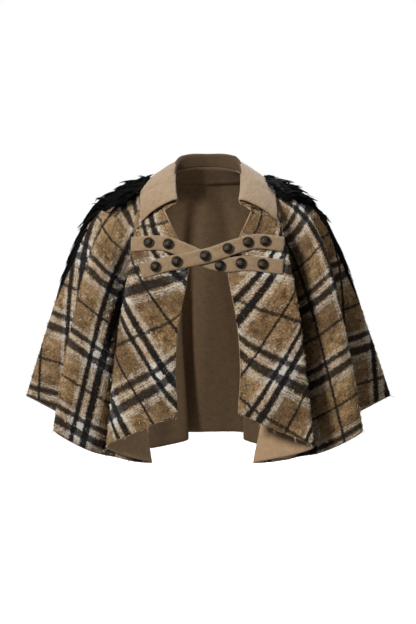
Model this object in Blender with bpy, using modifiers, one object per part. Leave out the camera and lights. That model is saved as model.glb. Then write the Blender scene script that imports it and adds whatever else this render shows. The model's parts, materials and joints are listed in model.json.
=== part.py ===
"""A short open-front cape: fluted cloth panels, a turned-down collar, two crossed straps
with dome buttons and a black fringe along each shoulder.

Metres, +Z up. The wearer faces -Y, so the wearer's right side is at -X.
The origin is the middle of the neck opening, level with the shoulders that carry the cape.
"""
import math
import random
from collections import namedtuple

import bmesh
import bpy
import numpy as np
from mathutils import Matrix, Vector
from mathutils.bvhtree import BVHTree

# Cloth
WALL = 0.0026            # double-faced coating, check outside and plain inside
SEAM_GAP = 0.0004        # between neighbouring panels
ROWS = 14                # sections from the neck seam to the hem
STEPS = 4                # columns from one rib to the next
FINE = 3                 # finer grid used to place trim on the cloth
SHOULDER_PULL = 2.6      # how tightly a rib turns over the shoulder
FOLD_ROUNDING = 0.7      # from 0.5 for sharp crests to 1 for full ones

# Neck seam on one half, front end to centre back
NeckPoint = namedtuple("NeckPoint", "share out y z")
NECK_SEAM = (
    NeckPoint(0.00, 0.0816, -0.097, -0.045),
    NeckPoint(0.25, 0.084, -0.044, -0.009),
    NeckPoint(0.50, 0.073, 0.006, 0.028),
    NeckPoint(0.78, 0.044, 0.050, 0.049),
    NeckPoint(1.00, 0.000, 0.066, 0.054),
)

# Ribs run from the neck seam over a shoulder corner to the hem; every crest and trough
# of the flutes is one rib. Distances out from the middle are given for each side.
Rib = namedtuple("Rib", "name share corner_right corner_left corner_y corner_z right left y z")
RIBS = (
    Rib("front edge", 0.00, 0.050, 0.050, -0.122, -0.105, 0.056, 0.055, -0.152, -0.420),
    Rib("front middle", 0.10, 0.098, 0.098, -0.121, -0.090, 0.120, 0.124, -0.162, -0.450),
    Rib("front crest", 0.22, 0.146, 0.156, -0.110, -0.068, 0.187, 0.193, -0.144, -0.482),
    Rib("front trough", 0.34, 0.182, 0.186, -0.090, -0.046, 0.108, 0.086, -0.082, -0.518),
    Rib("side front", 0.38, 0.196, 0.196, -0.070, -0.037, 0.2125, 0.2105, -0.080, -0.500),
    Rib("side crest", 0.42, 0.216, 0.214, -0.058, -0.028, 0.288, 0.291, -0.080, -0.458),
    Rib("side trough", 0.48, 0.230, 0.222, -0.014, -0.016, 0.258, 0.260, -0.004, -0.446),
    Rib("arm crest", 0.53, 0.243, 0.233, 0.024, -0.012, 0.353, 0.354, 0.032, -0.398),
    Rib("arm trough", 0.60, 0.220, 0.214, 0.060, -0.012, 0.266, 0.266, 0.078, -0.452),
    Rib("back crest", 0.70, 0.176, 0.174, 0.097, -0.010, 0.255, 0.252, 0.144, -0.480),
    Rib("back trough", 0.80, 0.120, 0.120, 0.115, -0.008, 0.160, 0.165, 0.112, -0.508),
    Rib("back fold", 0.90, 0.058, 0.062, 0.121, -0.006, 0.040, 0.076, 0.150, -0.490),
    Rib("back tuck", 0.95, 0.030, 0.036, 0.122, -0.006, 0.064, 0.098, 0.176, -0.482),
    Rib("centre back", 1.00, 0.000, 0.000, 0.122, -0.006, 0.000, 0.000, 0.178, -0.478),
)
SIDE_SEAM = "front trough"
BACK_SEAM = "back crest"

# Front edges, half of the gap between them at each height
EdgePoint = namedtuple("EdgePoint", "z out")
FRONT_EDGE = (
    EdgePoint(-0.420, 0.0560),
    EdgePoint(-0.340, 0.0600),
    EdgePoint(-0.240, 0.0520),
    EdgePoint(-0.175, 0.0395),
    EdgePoint(-0.148, 0.0365),
    EdgePoint(-0.096, 0.0570),
    EdgePoint(-0.040, 0.0840),
)

# Collar on one half: roll line, where the fall lies on the cloth, and how far it reaches
COLLAR_WALL = 0.0024
COLLAR_COLUMNS = 32
STAND_LIFT = 0.0034      # middle of the stand's lower edge above the neck seam
STAND_INSET = 0.0012
ROLL_RADIUS = 0.0028
ROLL_STEP = 0.01         # share on each side that gives the roll line's direction
FALL_CLEAR = 0.0012      # between the fall's edge and the panels
FALL_BULGE = 0.010
RollPoint = namedtuple("RollPoint", "share out y z lies_at reach")
ROLL_LINE = (
    RollPoint(0.00, 0.060, -0.080, -0.025, 0.215, 0.074),
    RollPoint(0.30, 0.064, -0.028, 0.013, 0.400, 0.058),
    RollPoint(0.55, 0.061, 0.024, 0.051, 0.600, 0.048),
    RollPoint(0.78, 0.048, 0.050, 0.073, 0.810, 0.042),
    RollPoint(1.00, 0.000, 0.064, 0.077, 1.000, 0.040),
)

# Band inside the back neck
FACING_WALL = 0.0012
FACING_CLEAR = 0.0006
FACING_SHARES = (0.06, 0.44, 0.82)   # its sections, as shares of the first panel section
FACING_START = "back crest"

# Straps: middle line seen from the front, and how far it rides up over the other strap
STRAP_WALL = 0.0030
STRAP_WIDTH = 0.0265
STRAP_CLEAR = 0.0005
STRAP_FEEL = 0.0025      # a strap rests on the highest cloth this near
STRAP_STATIONS = 30
STRAP_SLICES = 4
StrapPoint = namedtuple("StrapPoint", "x z ride")
STRAP_OVER = (
    StrapPoint(-0.124, -0.1580, 0.0000),
    StrapPoint(-0.092, -0.1480, 0.0002),
    StrapPoint(-0.061, -0.1405, 0.0040),
    StrapPoint(0.000, -0.1280, 0.0048),
    StrapPoint(0.054, -0.1100, 0.0040),
    StrapPoint(0.083, -0.1020, 0.0004),
    StrapPoint(0.141, -0.1065, 0.0000),
)
STRAP_UNDER = (
    StrapPoint(-0.143, -0.1065, 0.0000),
    StrapPoint(-0.078, -0.1060, 0.0000),
    StrapPoint(-0.034, -0.1230, 0.0000),
    StrapPoint(0.000, -0.1380, 0.0000),
    StrapPoint(0.028, -0.1450, 0.0000),
    StrapPoint(0.069, -0.1425, 0.0000),
    StrapPoint(0.139, -0.1495, 0.0000),
)

# Dome buttons, placed across the front and below the middle line of their strap
BUTTON_RADIUS = 0.0098
BUTTON_HEIGHT = 0.0062
BUTTON_CLEAR = 0.0005
BUTTON_SEGMENTS = 12
ButtonRing = namedtuple("ButtonRing", "radius_share height_share")
BUTTON_PROFILE = (
    ButtonRing(0.00, 1.00),
    ButtonRing(0.52, 0.88),
    ButtonRing(0.86, 0.58),
    ButtonRing(0.90, 0.36),
    ButtonRing(1.00, 0.36),
    ButtonRing(1.00, 0.00),
    ButtonRing(0.00, 0.00),
)
ButtonSpot = namedtuple("ButtonSpot", "x drop")
OVER_BUTTONS = (
    ButtonSpot(-0.0974, 0.0),
    ButtonSpot(-0.0580, 0.0),
    ButtonSpot(-0.0052, 0.0),
    ButtonSpot(0.0370, 0.0),
    ButtonSpot(0.0744, 0.0),
    ButtonSpot(0.1069, 0.0),
)
UNDER_BUTTONS = (
    ButtonSpot(-0.1108, 0.0),
    ButtonSpot(-0.0744, 0.0),
    ButtonSpot(0.0225, 0.0034),
    ButtonSpot(0.0612, 0.0),
    ButtonSpot(0.1017, 0.0),
)

# Shoulder fringes: rows of locks rooted in a narrow strip that lies along the arm crest
FRINGE_RIB = "arm crest"
FRINGE_START = 0.058     # along the rib from the neck seam
FRINGE_END = 0.214
FRINGE_ROWS = 12
STRIP_BACK = -0.014      # strip edges behind and before the crest
STRIP_FRONT = 0.034
STRIP_NARROWING = 0.60
STRIP_HEIGHT = 0.0022
STRIP_CLEAR = 0.0007
ROOTS = 4                # locks side by side
ROOT_SPAN = (0.05, 0.55) # where a lock's root starts and ends in its row
LOCK_LENGTH = 0.056
LOCK_TRAIL = 0.104       # extra length of the last locks, which hang down the arm
LOCK_TRAIL_FROM = 0.60   # share of the rows after which locks grow longer
LOCK_TRAIL_ANGLE = -7.0  # the last locks keep to the crest of the arm
LOCK_TRAIL_FAN = 3.0     # and part by this much from their neighbours
LOCK_SPREAD = (-20.0, -5.0, 8.0, 20.0)
LOCK_TURN = 3.2
LOCK_TRAIL_CALM = 0.8    # share of that turn which the last locks lose
LOCK_UNEVEN = (0.76, 1.12)
LOCK_CLIMB = (0.26, 0.18)    # slope of the locks over the rows below them, at the start and the end
LOCK_LEAVE = 0.016       # run from a root to the lock's first section, at most
LOCK_WALL = 0.0009
LockSection = namedtuple("LockSection", "share width")
LOCK_SECTIONS = (        # shares of a lock's length and of its lane
    LockSection(0.24, 0.54),
    LockSection(0.44, 0.50),
    LockSection(0.64, 0.44),
    LockSection(0.84, 0.32),
    LockSection(1.00, 0.00),
)
LOCK_SEED = 11

Look = namedtuple("Look", "colour roughness metallic")
CHECK_CLOTH = Look((0.42, 0.25, 0.11), 0.95, 0.0)
CAMEL_FELT = Look((0.55, 0.31, 0.13), 0.95, 0.0)
ANTIQUE_BRASS = Look((0.30, 0.22, 0.11), 0.42, 0.9)
BLACK_YARN = Look((0.012, 0.012, 0.013), 0.75, 0.0)

Cloth = namedtuple("Cloth", "points normals across")


def clear_scene():
    for thing in list(bpy.data.objects):
        bpy.data.objects.remove(thing, do_unlink=True)


def make_material(name, look):
    material = bpy.data.materials.new(name)
    material.use_nodes = True
    shader = material.node_tree.nodes["Principled BSDF"]
    shader.inputs["Base Color"].default_value = (*look.colour, 1.0)
    shader.inputs["Roughness"].default_value = look.roughness
    shader.inputs["Metallic"].default_value = look.metallic
    return material


def add_object(collection, name, mesh, look):
    thing = bpy.data.objects.new(name, mesh)
    collection.objects.link(thing)
    mesh.materials.append(make_material(name, look))
    return thing


def unit(vectors):
    return vectors / np.linalg.norm(vectors, axis=-1, keepdims=True)


def hermite(knots, values, at):
    """Smooth curve through rows of values."""
    knots = np.asarray(knots, float)
    values = np.asarray(values, float)
    at = np.asarray(at, float)
    slopes = np.gradient(values, knots, axis=0)
    left = np.clip(np.searchsorted(knots, at, side="right") - 1, 0, len(knots) - 2)
    width = (knots[left + 1] - knots[left])[:, None]
    t = ((at - knots[left]) / width[:, 0])[:, None]
    start = (1 + 2 * t) * (1 - t) ** 2 * values[left] + t * (1 - t) ** 2 * width * slopes[left]
    end = t * t * (3 - 2 * t) * values[left + 1] + t * t * (t - 1) * width * slopes[left + 1]
    return start + end


def by_share(table, share):
    """Rows of a half table read at a share from 0 at the front end to 1 at centre back."""
    rows = np.array(table)
    mirrored = rows[::-1][1:].copy()
    mirrored[:, 0] = 2.0 - mirrored[:, 0]
    mirrored[:, 1] *= -1.0
    if rows.shape[1] > 4:
        mirrored[:, 4] = 2.0 - mirrored[:, 4]
    full = np.vstack([rows, mirrored])
    return hermite(full[:, 0], full[:, 1:], np.atleast_1d(share))


def rib_path(rib, side, count):
    """Points at even steps along one rib; side is -1 for the wearer's right, 1 for the left."""
    mirror = np.array([side, 1.0, 1.0])
    neck = by_share(NECK_SEAM, rib.share)[0] * mirror
    corner_out = rib.corner_right if side < 0 else rib.corner_left
    corner = np.array([corner_out, rib.corner_y, rib.corner_z]) * mirror
    hem = np.array([rib.right if side < 0 else rib.left, rib.y, rib.z]) * mirror
    t = np.linspace(0.0, 1.0, 240)[:, None]
    pull = 2 * SHOULDER_PULL * t * (1 - t)
    path = ((1 - t) ** 2 * neck + pull * corner + t * t * hem) / ((1 - t) ** 2 + pull + t * t)
    if rib.name == "front edge":
        edge = np.array(FRONT_EDGE)
        path[:, 0] = side * hermite(edge[:, 0], edge[:, 1:], path[:, 2])[:, 0]
    length = np.concatenate([[0.0], np.cumsum(np.linalg.norm(np.diff(path, axis=0), axis=1))])
    even = np.linspace(0.0, length[-1], count)
    return np.stack([np.interp(even, length, path[:, axis]) for axis in range(3)], axis=1)


def lay_cloth():
    """The whole cape as one smooth grid: rows from neck to hem, columns right front to left."""
    count = ROWS * FINE + 1
    right = [rib_path(rib, -1, count) for rib in RIBS]
    left = [rib_path(rib, 1, count) for rib in RIBS[-2::-1]]
    ribs = np.array(right + left)
    per_rib = STEPS * FINE
    spots = np.arange((len(ribs) - 1) * per_rib + 1) / per_rib
    rows = []
    for row in range(count):
        ring = ribs[:, row]
        gaps = np.linalg.norm(np.diff(ring, axis=0), axis=1) ** FOLD_ROUNDING
        knots = np.concatenate([[0.0], np.cumsum(gaps)])
        rows.append(hermite(knots, ring, np.interp(spots, np.arange(len(ribs)), knots)))
    points = np.array(rows)
    across = unit(np.gradient(points, axis=1))
    down = np.gradient(points, axis=0)
    return Cloth(points, unit(np.cross(across, down)), across)


def column_of(name, side):
    """Fine column of a named rib."""
    index = [rib.name for rib in RIBS].index(name)
    if side > 0:
        index = 2 * (len(RIBS) - 1) - index
    return index * STEPS * FINE


def column_at_share(share):
    """Fine column at a neck share from 0 to 2, right front end to left front end."""
    shares = [rib.share for rib in RIBS]
    shares = shares + [2.0 - value for value in shares[-2::-1]]
    return np.interp(share, shares, np.arange(len(shares))) * STEPS * FINE


def read_grid(grid, row, column):
    """Value of a fine grid between its points."""
    row = min(max(row, 0.0), grid.shape[0] - 1.001)
    column = min(max(column, 0.0), grid.shape[1] - 1.001)
    i = int(row)
    j = int(column)
    a = row - i
    b = column - j
    upper = grid[i, j] * (1 - b) + grid[i, j + 1] * b
    lower = grid[i + 1, j] * (1 - b) + grid[i + 1, j + 1] * b
    return upper * (1 - a) + lower * a


def row_at(cloth, column, distance):
    """Fine row that lies a distance from the neck seam down a column."""
    j = int(round(min(column, cloth.points.shape[1] - 1)))
    steps = np.linalg.norm(np.diff(cloth.points[:, j], axis=0), axis=1)
    return np.interp(distance, np.concatenate([[0.0], np.cumsum(steps)]), np.arange(len(steps) + 1))


def wall_mesh(name, outer, inner):
    """Closed wall lofted between an outer and an inner grid of sections."""
    rows, columns = outer.shape[:2]
    size = rows * columns
    shell = bmesh.new()
    vertices = [shell.verts.new(point) for point in outer.reshape(-1, 3)]
    vertices += [shell.verts.new(point) for point in inner.reshape(-1, 3)]
    for i in range(rows - 1):
        for j in range(columns - 1):
            a = i * columns + j
            ring = (a, a + columns, a + columns + 1, a + 1)
            shell.faces.new([vertices[k] for k in ring])
            shell.faces.new([vertices[k + size] for k in reversed(ring)])
    rim = [j for j in range(columns)]
    rim += [i * columns + columns - 1 for i in range(1, rows)]
    rim += [(rows - 1) * columns + j for j in range(columns - 2, -1, -1)]
    rim += [i * columns for i in range(rows - 2, 0, -1)]
    for a, b in zip(rim, rim[1:] + rim[:1]):
        shell.faces.new([vertices[k] for k in (a, b, b + size, a + size)])
    bmesh.ops.recalc_face_normals(shell, faces=shell.faces)
    mesh = bpy.data.meshes.new(name)
    shell.to_mesh(mesh)
    shell.free()
    return mesh


def panel(collection, cloth, name, first, last, look):
    """One cloth panel between two columns of the cape, set back from its seams."""
    points = cloth.points[::FINE, first:last + 1:FINE].copy()
    normals = cloth.normals[::FINE, first:last + 1:FINE]
    across = cloth.across[::FINE, first:last + 1:FINE]
    points[:, 0] += across[:, 0] * SEAM_GAP / 2
    points[:, -1] -= across[:, -1] * SEAM_GAP / 2
    mesh = wall_mesh(name, points + normals * WALL / 2, points - normals * WALL / 2)
    return add_object(collection, name, mesh, look)


def make_panels(collection, cloth):
    last = cloth.points.shape[1] - 1
    cuts = [0, column_of(SIDE_SEAM, -1), column_of(BACK_SEAM, -1)]
    cuts += [column_of(BACK_SEAM, 1), column_of(SIDE_SEAM, 1), last]
    names = ("front_right", "side_right", "back", "side_left", "front_left")
    return {name: panel(collection, cloth, name, start, end, CHECK_CLOTH)
            for name, start, end in zip(names, cuts, cuts[1:])}


def collar_section(cloth, share):
    """Middle line of the collar from the neck seam over the roll line to the fall's edge."""
    column = column_at_share(share)
    seam = read_grid(cloth.points, 0, column)
    x, y, z, lies_at, reach = by_share(ROLL_LINE, share)[0]
    roll = np.array([-x, y, z])
    edge_column = column_at_share(lies_at)
    edge_row = row_at(cloth, edge_column, reach)
    normal = read_grid(cloth.normals, edge_row, edge_column)
    edge = read_grid(cloth.points, edge_row, edge_column)
    edge = edge + normal * (WALL / 2 + COLLAR_WALL / 2 + FALL_CLEAR)
    up = np.array([0.0, 0.0, 1.0])
    outward = edge - roll
    outward = unit(outward - up * outward[2])
    foot = seam + up * STAND_LIFT - outward * STAND_INSET
    rise = unit(roll - foot)
    before, after = by_share(ROLL_LINE, [share - ROLL_STEP, share + ROLL_STEP])[:, :3]
    along = (after - before) * (-1.0, 1.0, 1.0)
    over = unit(np.cross(rise, along))
    crest = roll + (over + rise) * ROLL_RADIUS
    turn = roll + over * 2 * ROLL_RADIUS
    bow = (turn + edge) / 2 + up * FALL_BULGE + outward * FALL_BULGE * 0.5
    section = [foot, foot * 0.5 + roll * 0.5 - outward * 0.001, roll, crest, turn]
    for t in (0.33, 0.67):
        section.append((1 - t) ** 2 * turn + 2 * t * (1 - t) * bow + t * t * edge)
    section.append(edge)
    return section


def make_collar(collection, cloth):
    shares = np.linspace(0.0, 2.0, COLLAR_COLUMNS + 1)
    middle = np.array([collar_section(cloth, share) for share in shares]).transpose(1, 0, 2)
    across = unit(np.gradient(middle, axis=1))
    down = unit(np.gradient(middle, axis=0))
    normals = unit(np.cross(across, down))
    mesh = wall_mesh("collar", middle + normals * COLLAR_WALL / 2, middle - normals * COLLAR_WALL / 2)
    return add_object(collection, "collar", mesh, CAMEL_FELT)


def make_facing(collection, cloth):
    first = column_of(FACING_START, -1)
    last = column_of(FACING_START, 1)
    top = cloth.points[0, first + FINE:last:FINE]
    bottom = cloth.points[FINE, first + FINE:last:FINE]
    top_normal = cloth.normals[0, first + FINE:last:FINE]
    bottom_normal = cloth.normals[FINE, first + FINE:last:FINE]
    shares = np.array(FACING_SHARES)[:, None, None]
    points = top * (1 - shares) + bottom * shares
    normals = unit(top_normal * (1 - shares) + bottom_normal * shares)
    outer = points - normals * (WALL / 2 + FACING_CLEAR)
    mesh = wall_mesh("neck_facing", outer, outer - normals * FACING_WALL)
    return add_object(collection, "neck_facing", mesh, CAMEL_FELT)


def front_depths(panels, places):
    """Depth of the front panels at places seen from the front, straight across the gap."""
    trees = []
    for name in ("front_right", "front_left"):
        mesh = panels[name].data
        mesh.calc_loop_triangles()
        corners = [vertex.co for vertex in mesh.vertices]
        trees.append(BVHTree.FromPolygons(corners, [t.vertices for t in mesh.loop_triangles]))
    depths = []
    for x, z in places:
        hits = [tree.ray_cast(Vector((x, -1.0, z)), Vector((0.0, 1.0, 0.0)))[0] for tree in trees]
        depths.append(min([hit.y for hit in hits if hit], default=math.nan))
    depths = np.array(depths)
    known = ~np.isnan(depths)
    spots = np.arange(len(depths))
    return np.interp(spots, spots[known], depths[known])


def strap_base(panels, table):
    """Places on the fronts under a strap, in slices from its top edge to its bottom edge."""
    rows = np.array(table)
    spots = np.linspace(rows[0, 0], rows[-1, 0], STRAP_STATIONS + 1)
    line = hermite(rows[:, 0], rows[:, 1:], spots)
    slope = np.gradient(line[:, 0], spots)
    lean = np.stack([-slope, np.ones_like(slope)], axis=1) / np.sqrt(1 + slope ** 2)[:, None]
    shifts = ((0, 0), (1, 0), (-1, 0), (0, 1), (0, -1))
    grid = []
    for offset in np.linspace(0.5, -0.5, STRAP_SLICES + 1) * STRAP_WIDTH:
        places = np.stack([spots, line[:, 0]], axis=1) + lean * offset
        around = [front_depths(panels, places + np.array(shift) * STRAP_FEEL) for shift in shifts]
        depth = np.minimum.reduce(around) - np.maximum(line[:, 1], 0.0)
        grid.append(np.stack([places[:, 0], depth, places[:, 1]], axis=1))
    return np.array(grid)


def make_strap(collection, panels, name, table):
    base = strap_base(panels, table)
    across = unit(np.gradient(base, axis=1))
    down = unit(np.gradient(base, axis=0))
    normals = unit(np.cross(down, across))
    normals *= np.where(normals[..., 1:2] > 0, -1.0, 1.0)
    inner = base + normals * STRAP_CLEAR
    outer = inner + normals * STRAP_WALL
    mesh = wall_mesh(name, outer, inner)
    add_object(collection, name, mesh, CAMEL_FELT)
    return outer, normals


def make_button(collection, name, place, normal):
    mesh = bpy.data.meshes.new(name)
    points = [(r * BUTTON_RADIUS, 0.0, h * BUTTON_HEIGHT) for r, h in BUTTON_PROFILE]
    mesh.from_pydata(points, [(k, k + 1) for k in range(len(points) - 1)], [])
    button = add_object(collection, name, mesh, ANTIQUE_BRASS)
    turn = button.modifiers.new("turn", "SCREW")
    turn.axis = "Z"
    turn.steps = BUTTON_SEGMENTS
    turn.render_steps = BUTTON_SEGMENTS
    turn.use_merge_vertices = True
    turn.merge_threshold = 0.00005
    turn.use_smooth_shade = False
    facing = Vector(normal).to_track_quat("Z", "X").to_matrix().to_4x4()
    button.matrix_world = Matrix.Translation(Vector(place)) @ facing
    return button


def strap_line(grid, spot):
    """Line along a strap's grid that passes through a button."""
    slice_row = STRAP_SLICES * (0.5 + spot.drop / STRAP_WIDTH)
    upper = int(slice_row)
    share = slice_row - upper
    return grid[upper] * (1 - share) + grid[upper + 1] * share


def make_buttons(collection, straps):
    number = 0
    for (outer, normals), spots in zip(straps, (OVER_BUTTONS, UNDER_BUTTONS)):
        for spot in spots:
            number += 1
            line = strap_line(outer, spot)
            line_normals = strap_line(normals, spot)
            place = np.array([np.interp(spot.x, line[:, 0], line[:, axis]) for axis in range(3)])
            normal = np.array([np.interp(spot.x, line[:, 0], line_normals[:, axis]) for axis in range(3)])
            normal = unit(normal)
            make_button(collection, f"button_{number:02d}", place + normal * BUTTON_CLEAR, normal)


def fringe_place(cloth, side, distance, offset):
    """Fine row and column at a distance down the fringe's rib and an offset to its front."""
    column = column_of(FRINGE_RIB, side)
    row = row_at(cloth, column, distance)
    here = read_grid(cloth.points, row, column)
    width = np.linalg.norm(read_grid(cloth.points, row, column + side) - here)
    return row, column + side * offset / width


def above_cloth(cloth, row, column, height):
    normal = unit(read_grid(cloth.normals, row, column))
    return read_grid(cloth.points, row, column) + normal * (WALL / 2 + STRIP_CLEAR + height)


def fringe_sections(cloth, side, distances):
    """Sections of the strip: its top points from back to front, then its underside."""
    sections = []
    for distance in distances:
        share = (distance - FRINGE_START) / (FRINGE_END - FRINGE_START)
        edges = np.linspace(STRIP_BACK, STRIP_FRONT, ROOTS + 1) * (1 - STRIP_NARROWING * share)
        spots = [fringe_place(cloth, side, distance, offset) for offset in edges]
        top = [above_cloth(cloth, row, column, STRIP_HEIGHT) for row, column in spots]
        under = [above_cloth(cloth, row, column, 0.0) for row, column in spots]
        sections.append(top + under[::-1])
    return sections


def climb(distance):
    """Height of the pile of locks that have started before a distance along the fringe."""
    reach = FRINGE_END - FRINGE_START
    run = min(distance - FRINGE_START, reach)
    first, last = LOCK_CLIMB
    return first * run + (last - first) * run * run / (2 * reach)


def lock_path(cloth, side, distance, offset, shape):
    """Middle points and normals of a lock that runs out over the locks below it from its root."""
    length, angle = shape
    first = LOCK_SECTIONS[0].share
    leave = min(first * length, LOCK_LEAVE)
    path = []
    for section in LOCK_SECTIONS:
        run = leave + (length - leave) * (section.share - first) / (1 - first)
        ahead = distance + run * math.cos(angle)
        row, column = fringe_place(cloth, side, distance, offset + run * math.sin(angle))
        row = row_at(cloth, column_of(FRINGE_RIB, side), ahead)
        height = STRIP_HEIGHT + climb(ahead) - climb(distance)
        normal = unit(read_grid(cloth.normals, row, column))
        path.append((above_cloth(cloth, row, column, height), normal))
    return path


def grow_lock(body, corners, path, lane):
    """Four-sided tapering lock: the root's near edge becomes its top, the far edge its underside."""
    ring = corners
    before = sum((np.array(vertex.co) for vertex in corners), np.zeros(3)) / 4
    sideways = np.array(corners[3].co) - np.array(corners[0].co)
    for (place, normal), section in zip(path[:-1], LOCK_SECTIONS):
        lateral = unit(np.cross(normal, place - before))
        lateral = lateral * math.copysign(lane * section.width / 2, np.dot(lateral, sideways))
        lift = normal * LOCK_WALL / 2
        near = place - lateral
        far = place + lateral
        following = [body.verts.new(spot) for spot in (near + lift, near - lift, far - lift, far + lift)]
        for k in range(4):
            m = (k + 1) % 4
            body.faces.new((ring[k], following[k], following[m], ring[m]))
        ring = following
        before = place
    tip = body.verts.new(path[-1][0])
    for k in range(4):
        body.faces.new((ring[k], tip, ring[(k + 1) % 4]))


def make_fringe(collection, cloth, name, side):
    """Backing strip with tapering locks grown from its upper faces."""
    chance = random.Random(LOCK_SEED + side)
    pitch = (FRINGE_END - FRINGE_START) / FRINGE_ROWS
    starts = [FRINGE_START + pitch * row for row in range(FRINGE_ROWS)]
    distances = [start + pitch * part for start in starts for part in ROOT_SPAN]
    sections = fringe_sections(cloth, side, distances)
    body = bmesh.new()
    rings = [[body.verts.new(point) for point in section] for section in sections]
    body.faces.new(rings[0])
    body.faces.new(rings[-1][::-1])
    count = len(rings[0])
    roots = []
    for index in range(len(rings) - 1):
        for k in range(count):
            m = (k + 1) % count
            corners = [rings[index][k], rings[index + 1][k], rings[index + 1][m], rings[index][m]]
            if index % 2 == 0 and k < ROOTS:
                roots.append((index // 2, k, corners))
            else:
                body.faces.new(corners)
    for row, place, corners in roots:
        share = row / (FRINGE_ROWS - 1)
        trail = max(0.0, share - LOCK_TRAIL_FROM) / (1 - LOCK_TRAIL_FROM)
        length = (LOCK_LENGTH + LOCK_TRAIL * trail ** 2) * chance.uniform(*LOCK_UNEVEN)
        fan = LOCK_TRAIL_ANGLE + LOCK_TRAIL_FAN * (place - (ROOTS - 1) / 2)
        turn = chance.uniform(-LOCK_TURN, LOCK_TURN) * (1 - LOCK_TRAIL_CALM * trail)
        angle = math.radians(LOCK_SPREAD[place] * (1 - trail) + fan * trail + turn)
        lane = (STRIP_FRONT - STRIP_BACK) * (1 - STRIP_NARROWING * share) / ROOTS
        offset = STRIP_BACK * (1 - STRIP_NARROWING * share) + lane * (place + 0.5)
        start = starts[row] + pitch * sum(ROOT_SPAN) / 2
        path = lock_path(cloth, side, start, offset, (length, angle))
        grow_lock(body, corners, path, lane)
    bmesh.ops.recalc_face_normals(body, faces=body.faces)
    mesh = bpy.data.meshes.new(name)
    body.to_mesh(mesh)
    body.free()
    return add_object(collection, name, mesh, BLACK_YARN)


def build():
    clear_scene()
    collection = bpy.data.collections.new("cape")
    bpy.context.scene.collection.children.link(collection)
    cloth = lay_cloth()
    panels = make_panels(collection, cloth)
    make_collar(collection, cloth)
    make_facing(collection, cloth)
    over = make_strap(collection, panels, "strap_over", STRAP_OVER)
    under = make_strap(collection, panels, "strap_under", STRAP_UNDER)
    make_buttons(collection, (over, under))
    make_fringe(collection, cloth, "fringe_right", -1)
    make_fringe(collection, cloth, "fringe_left", 1)


build()
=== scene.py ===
import json
import math
import random

import bpy
import numpy as np
from mathutils import Matrix, Vector
from mathutils.bvhtree import BVHTree

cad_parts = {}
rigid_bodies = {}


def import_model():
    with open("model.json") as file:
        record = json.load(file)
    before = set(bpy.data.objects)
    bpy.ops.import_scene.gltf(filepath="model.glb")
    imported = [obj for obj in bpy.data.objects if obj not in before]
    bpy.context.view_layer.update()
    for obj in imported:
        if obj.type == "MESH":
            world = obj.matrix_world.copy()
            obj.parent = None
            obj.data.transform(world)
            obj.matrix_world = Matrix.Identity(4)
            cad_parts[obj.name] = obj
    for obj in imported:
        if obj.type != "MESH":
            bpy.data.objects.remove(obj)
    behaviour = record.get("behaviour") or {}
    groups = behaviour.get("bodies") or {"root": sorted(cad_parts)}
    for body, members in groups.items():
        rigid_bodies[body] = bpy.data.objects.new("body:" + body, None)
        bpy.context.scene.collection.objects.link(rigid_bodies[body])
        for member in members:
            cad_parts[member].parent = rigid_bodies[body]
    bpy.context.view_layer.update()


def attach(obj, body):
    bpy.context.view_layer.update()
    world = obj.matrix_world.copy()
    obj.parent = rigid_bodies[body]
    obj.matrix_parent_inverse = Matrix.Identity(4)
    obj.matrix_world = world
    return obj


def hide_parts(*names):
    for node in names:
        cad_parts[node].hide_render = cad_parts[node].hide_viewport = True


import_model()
scene = bpy.context.scene
print("frame loaded")


# Shader maths on single values
class Wire:
    def __init__(self, tree, socket):
        self.tree = tree
        self.socket = socket

    def maths(self, operation, *values):
        node = self.tree.nodes.new("ShaderNodeMath")
        node.operation = operation
        for slot, value in zip(node.inputs, values):
            plug(self.tree, slot, value)
        return Wire(self.tree, node.outputs[0])

    def __add__(self, other):
        return self.maths("ADD", self, other)

    def __sub__(self, other):
        return self.maths("SUBTRACT", self, other)

    def __rsub__(self, other):
        return self.maths("SUBTRACT", other, self)

    def __mul__(self, other):
        return self.maths("MULTIPLY", self, other)

    def __abs__(self):
        return self.maths("ABSOLUTE", self)

    def most(self, other):
        return self.maths("MAXIMUM", self, other)

    def least(self, other):
        return self.maths("MINIMUM", self, other)

    def wrapped(self, half):
        return self.maths("WRAP", self, half, -half)

    def beside(self, name):
        return Wire(self.tree, self.socket.node.outputs[name])

    __radd__ = __add__
    __rmul__ = __mul__


def plug(tree, slot, value):
    if isinstance(value, Wire):
        tree.links.new(value.socket, slot)
    else:
        slot.default_value = value


# Any node of a material or of a geometry tree
class Nodes:
    def __init__(self, tree):
        self.tree = tree

    def node(self, kind, settings, sockets, out=0):
        node = self.tree.nodes.new(kind)
        for key, value in settings.items():
            setattr(node, key, value)
        for key, value in sockets.items():
            plug(self.tree, node.inputs[key], value)
        return Wire(self.tree, node.outputs[out])


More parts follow.
